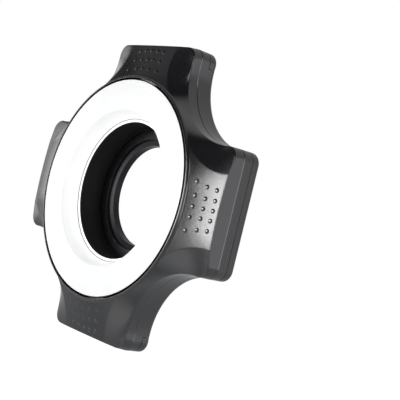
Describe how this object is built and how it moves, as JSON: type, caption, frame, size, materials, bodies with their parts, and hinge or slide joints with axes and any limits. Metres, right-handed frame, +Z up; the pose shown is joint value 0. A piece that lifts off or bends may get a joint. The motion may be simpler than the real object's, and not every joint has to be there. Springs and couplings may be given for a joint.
{
  "type": "macro LED ring light",
  "caption": "Four-lobed ring light for close-up photography: white ring diffuser in a black case with dotted grip panels, battery doors on the lobes and a turning threaded ring behind.",
  "frame": {"origin": "on the ring's axis, at the rear shoulder of the adapter ring, where its thread starts", "axes": "+Y along the thread, away from the lit face; the lit face looks along -Y; +Z up through the top lobe; +X through the right lobe as seen from the front"},
  "size_m": [0.1584, 0.0294, 0.1584],
  "materials": {
    "case": "fine moulded grain, charcoal black",
    "diffuser": "milky white, satin",
    "barrel": "flat black",
    "anodised_ring": "black anodised",
    "circuit_board": "green solder mask",
    "led_lens": "clear cast resin over a yellow-white die",
    "chip_black": "moulded black",
    "header_plastic": "black strip",
    "switch_case": "black nylon",
    "knob": "satin black, grooved",
    "screw_black": "black oxide",
    "screw_steel": "zinc plated",
    "cell_sleeve": "plain grey sleeve",
    "spring_steel": "nickel plated",
    "contact_plate": "nickel plated",
    "wire_red": "insulation",
    "wire_black": "insulation"
  },
  "bodies": {
    "adapter": {"adapter_ring": "anodised_ring"},
    "case": {"battery_lead_long": "wire_red", "battery_lead_short": "wire_black", "board_header": "header_plastic", "board_screws": "screw_steel", "case_screws": "screw_black", "cell_bottom": "cell_sleeve", "cell_left": "cell_sleeve", "cell_right": "cell_sleeve", "cell_top": "cell_sleeve", "contact_spring_bottom": "spring_steel", "contact_spring_left": "spring_steel", "contact_spring_right": "spring_steel", "contact_spring_top": "spring_steel", "diffuser": "diffuser", "driver_board": "circuit_board", "driver_parts": "chip_black", "front_shell": "case", "inner_barrel": "barrel", "jumper_wire_1": "wire_black", "jumper_wire_2": "wire_black", "jumper_wire_3": "wire_black", "led_board": "circuit_board", "led_resistors": "chip_black", "leds": "led_lens", "negative_contact_bottom": "contact_plate", "negative_contact_left": "contact_plate", "negative_contact_right": "contact_plate", "negative_contact_top": "contact_plate", "positive_contact_bottom": "contact_plate", "positive_contact_left": "contact_plate", "positive_contact_right": "contact_plate", "positive_contact_top": "contact_plate", "rear_shell": "case", "switch_body": "switch_case"},
    "switch": {"switch_knob": "knob"},
    "door_top": {"battery_door_top": "case"},
    "door_right": {"battery_door_right": "case"},
    "door_bottom": {"battery_door_bottom": "case"},
    "door_left": {"battery_door_left": "case"}
  },
  "joints": [
    {"name": "case_turn", "type": "hinge", "parent": "adapter", "child": "case", "pos_m": [0, -0.003, 0], "axis": [0, 1, 0], "continuous": true},
    {"name": "door_top_slide", "type": "slide", "parent": "case", "child": "door_top", "axis": [0, 0, 1], "range_m": [0, 0.0155]},
    {"name": "door_right_slide", "type": "slide", "parent": "case", "child": "door_right", "axis": [1, 0, 0], "range_m": [0, 0.0155]},
    {"name": "door_bottom_slide", "type": "slide", "parent": "case", "child": "door_bottom", "axis": [0, 0, -1], "range_m": [0, 0.0155]},
    {"name": "door_left_slide", "type": "slide", "parent": "case", "child": "door_left", "axis": [-1, 0, 0], "range_m": [0, 0.0155]},
    {"name": "switch_slide", "type": "slide", "parent": "case", "child": "switch", "axis": [1, 0, 0], "range_m": [0, 0.006]}
  ]
}
